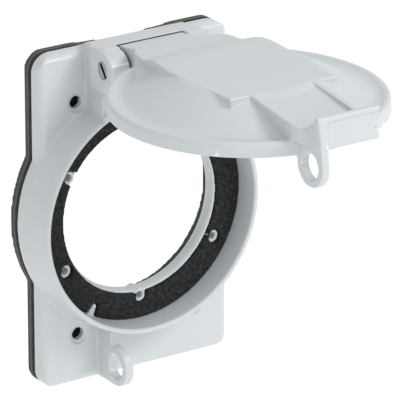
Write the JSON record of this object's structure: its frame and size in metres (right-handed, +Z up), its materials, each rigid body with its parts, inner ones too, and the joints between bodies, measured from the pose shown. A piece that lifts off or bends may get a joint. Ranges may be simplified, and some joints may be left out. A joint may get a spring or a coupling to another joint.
{
  "type": "weatherproof power inlet cover",
  "caption": "Cast cover plate with a round collar, foam gaskets and a hinged flip lid with padlock eyes, for mounting a flanged power inlet on a wall or device box.",
  "frame": {"origin": "centre of the wall screw pattern's column on the collar's axis, in the plane of the wall behind the gasket", "axes": "+X to the right seen from the front, +Z up, the front of the plate and the opening face -Y"},
  "size_m": [0.0924, 0.1366, 0.1312],
  "materials": {
    "painted_casting": "die-cast, light grey powder coat, satin",
    "wall_foam": "closed-cell foam, matt",
    "ring_foam": "closed-cell foam, matt",
    "pin_steel": "zinc plated, satin",
    "washer_nylon": "black nylon, matt"
  },
  "bodies": {
    "base": {"base_casting": "painted_casting", "wall_gasket": "wall_foam", "ring_gasket": "ring_foam", "hinge_pin": "pin_steel", "pin_retainer": "pin_steel", "friction_washer_left": "washer_nylon", "friction_washer_right": "washer_nylon"},
    "lid": {"lid_casting": "painted_casting", "lid_gasket": "ring_foam"}
  },
  "joints": [
    {"name": "lid_hinge", "type": "hinge", "parent": "base", "child": "lid", "pos_m": [0, -0.022, 0.0556], "axis": [-1, 0, 0], "range_deg": [-90, 30]}
  ]
}
